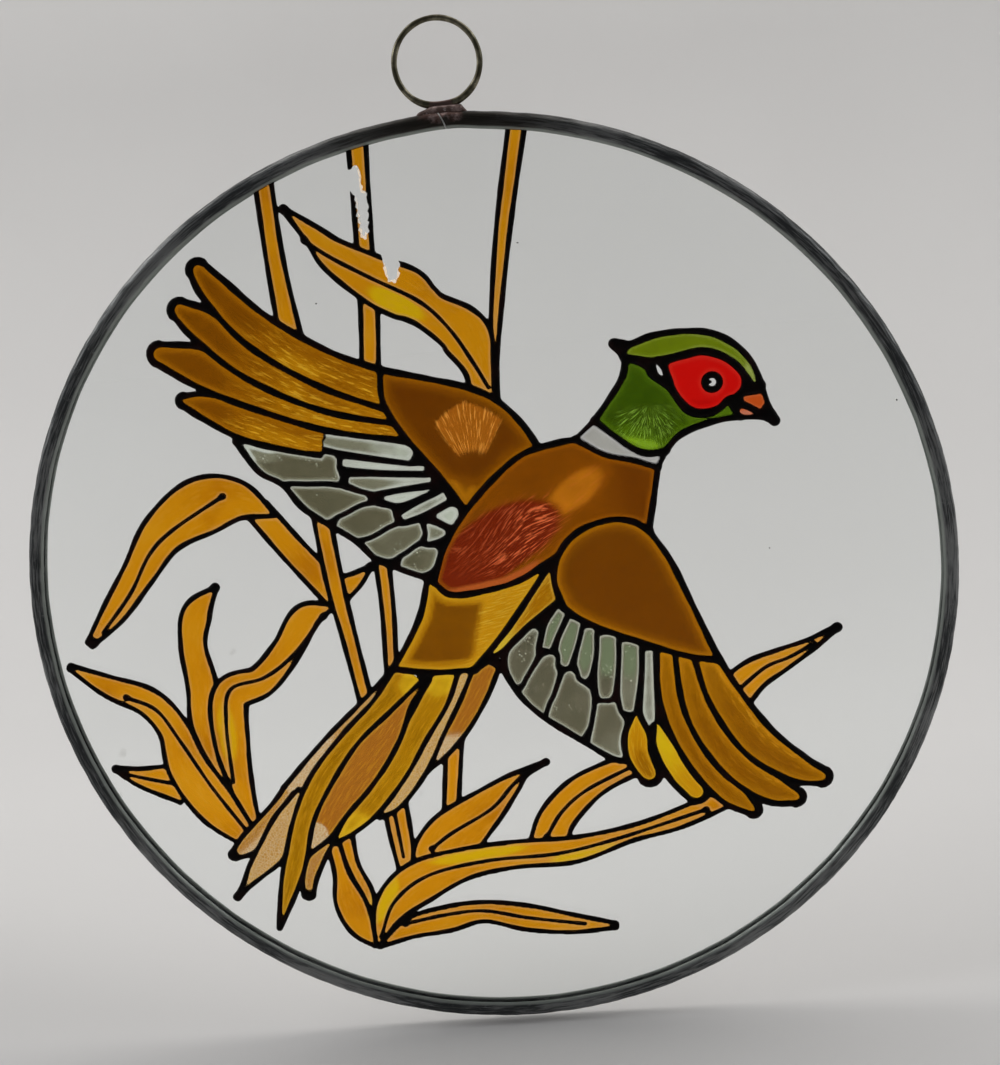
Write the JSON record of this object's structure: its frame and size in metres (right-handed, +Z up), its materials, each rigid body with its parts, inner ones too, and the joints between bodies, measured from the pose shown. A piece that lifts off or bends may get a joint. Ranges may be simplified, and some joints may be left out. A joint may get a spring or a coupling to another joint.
{
  "type": "stained glass suncatcher",
  "caption": "Round clear glass pane in a lead edge with a soldered hanging ring, painted in black outliner and see-through stains with a flying pheasant over reeds.",
  "frame": {"origin": "where a hook or cord bears on the hanging ring: the top of the ring's hole, in the middle of the pane's thickness", "axes": "+Z up, from the pane to the ring; -Y out of the painted front face; +X to the right as the front is seen"},
  "size_m": [0.205, 0.005, 0.2247],
  "materials": {
    "clear_glass": "polished clear float glass",
    "lead": "soft grey lead came, tarnished and scuffed",
    "solder": "dull tin-lead solder",
    "ring_bronze": "darkened bronze wire, polished on its high spots",
    "black_outliner": "raised black outliner paint, satin",
    "amber_stain": "glossy see-through stain",
    "feather_brown_stain": "glossy see-through stain",
    "shoulder_brown_stain": "glossy see-through stain",
    "old_gold_stain": "glossy see-through stain",
    "gold_stain": "glossy see-through stain",
    "russet_stain": "glossy see-through stain",
    "frosted_white_stain": "glossy see-through stain",
    "grey_stain": "glossy see-through stain",
    "green_stain": "glossy see-through stain",
    "lime_stain": "glossy see-through stain",
    "red_stain": "glossy see-through stain",
    "orange_stain": "glossy see-through stain"
  },
  "bodies": {
    "root": {"outliner_network": "black_outliner", "outliner_above_chip": "black_outliner", "pheasant_pupil": "black_outliner", "glass_disc": "clear_glass", "lead_came": "lead", "hanging_ring": "ring_bronze", "came_joint_solder": "solder", "left_stalk_stain": "amber_stain", "upper_reeds_stain": "amber_stain", "left_reeds_stain": "amber_stain", "middle_stalk_stain": "amber_stain", "right_reed_stain": "amber_stain", "lower_reeds_stain": "amber_stain", "far_wing_grey_stain": "grey_stain", "far_wing_primary_stain": "feather_brown_stain", "far_wing_shoulder_stain": "shoulder_brown_stain", "tail_stain": "old_gold_stain", "rump_stain": "gold_stain", "flank_stain": "gold_stain", "breast_stain": "russet_stain", "near_wing_grey_stain": "grey_stain", "near_wing_gold_stain": "gold_stain", "near_wing_primary_stain": "feather_brown_stain", "near_wing_shoulder_stain": "shoulder_brown_stain", "collar_stain": "frosted_white_stain", "neck_stain": "green_stain", "crown_stain": "lime_stain", "face_stain": "red_stain", "beak_stain": "orange_stain"}
  },
  "joints": []
}
